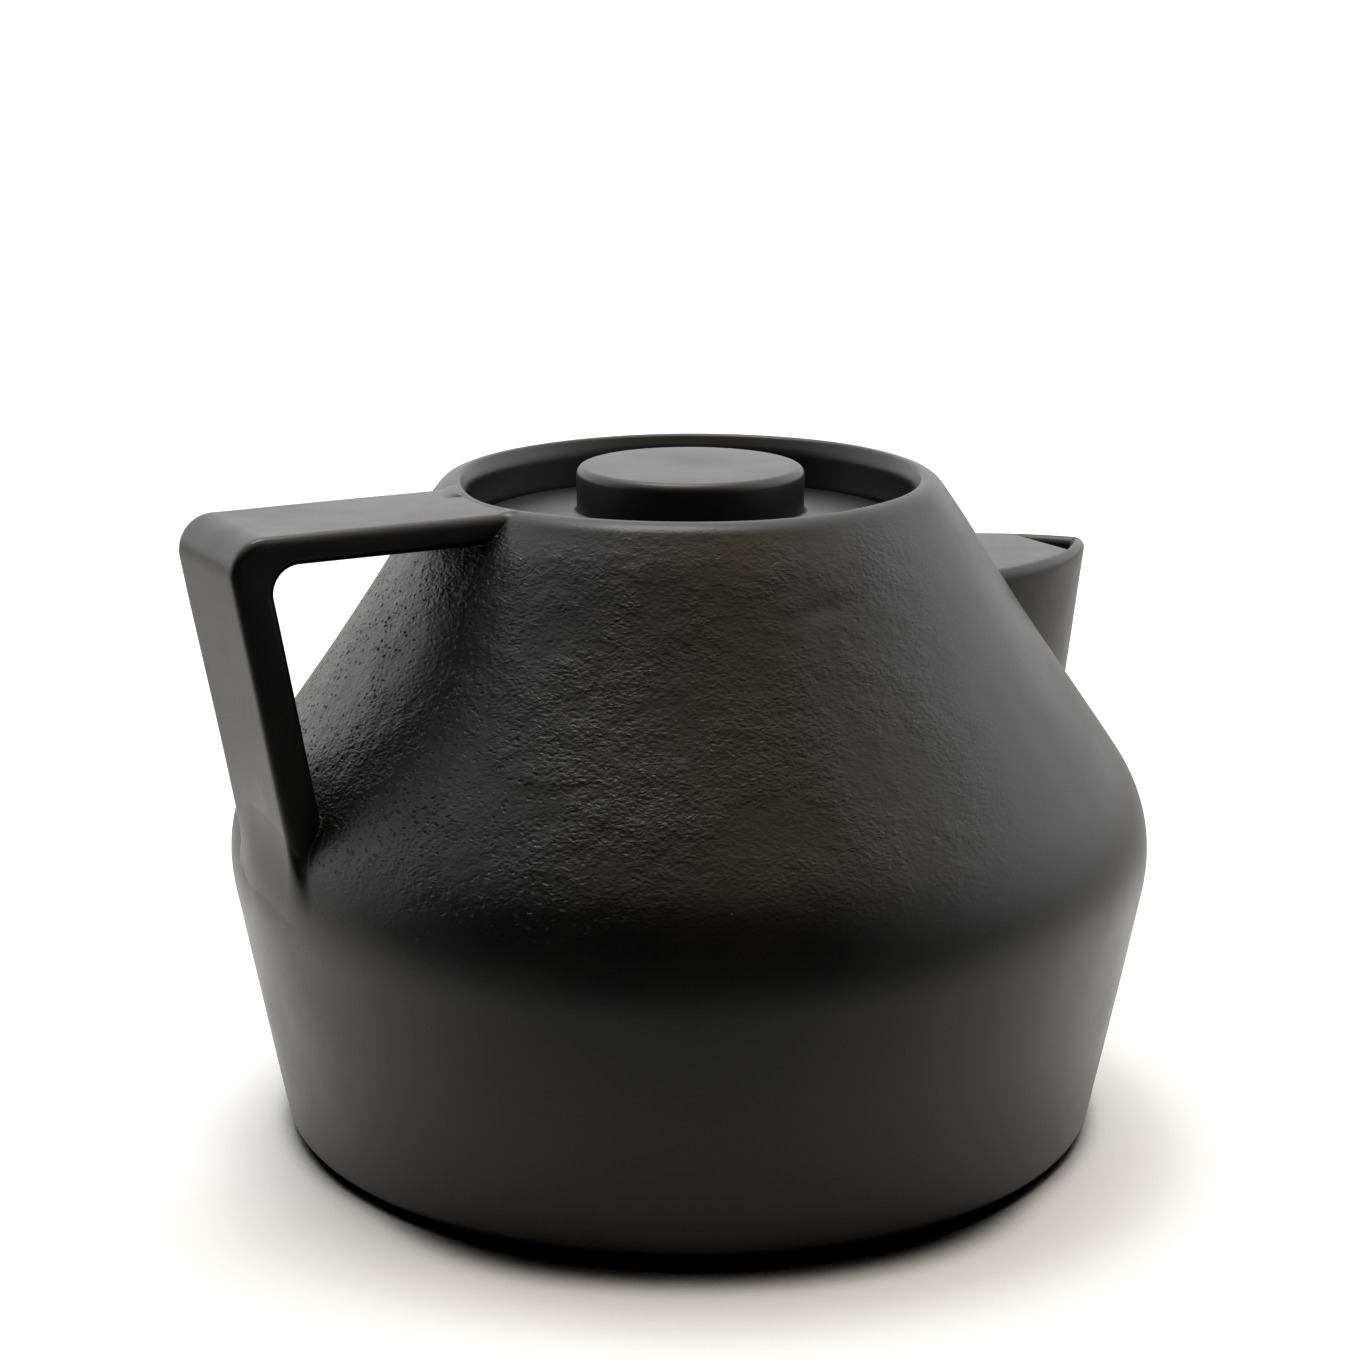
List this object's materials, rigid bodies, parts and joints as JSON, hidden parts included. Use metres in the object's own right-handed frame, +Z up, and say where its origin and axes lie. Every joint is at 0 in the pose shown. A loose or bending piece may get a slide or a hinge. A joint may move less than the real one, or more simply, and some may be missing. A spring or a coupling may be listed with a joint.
{
  "type": "teapot",
  "caption": "Black stoneware teapot with a cone-shaped shoulder, sunken lift-off lid with a flat round knob, flat strap handle and short pointed pouring beak.",
  "frame": {"origin": "middle of the foot's underside, on the surface that the pot stands on", "axes": "+Z up along the pot's axis of turning, +X along the pouring beak, -X along the handle, +Y to the left of the beak seen from the handle"},
  "size_m": [0.171, 0.16, 0.1154],
  "materials": {
    "bare_clay": "unglazed black stoneware, fine dry grain",
    "satin_black": "smooth satin black, faint clay grain under the surface",
    "leather_black": "matte black with a fine leather-like skin of low bumps and small pits",
    "lid_black": "smooth matte black, slightly cooler than the pot"
  },
  "bodies": {
    "pot": {"foot": "bare_clay", "bowl": "satin_black", "cone": "leather_black", "spout": "satin_black", "spout_cover": "satin_black", "handle": "satin_black"},
    "lid": {"lid_plate": "lid_black", "lid_flange": "bare_clay", "lid_knob": "lid_black"}
  },
  "joints": [
    {"name": "lid_lift", "type": "slide", "parent": "pot", "child": "lid", "axis": [0, 0, 1], "range_m": [0, 0.04]}
  ]
}
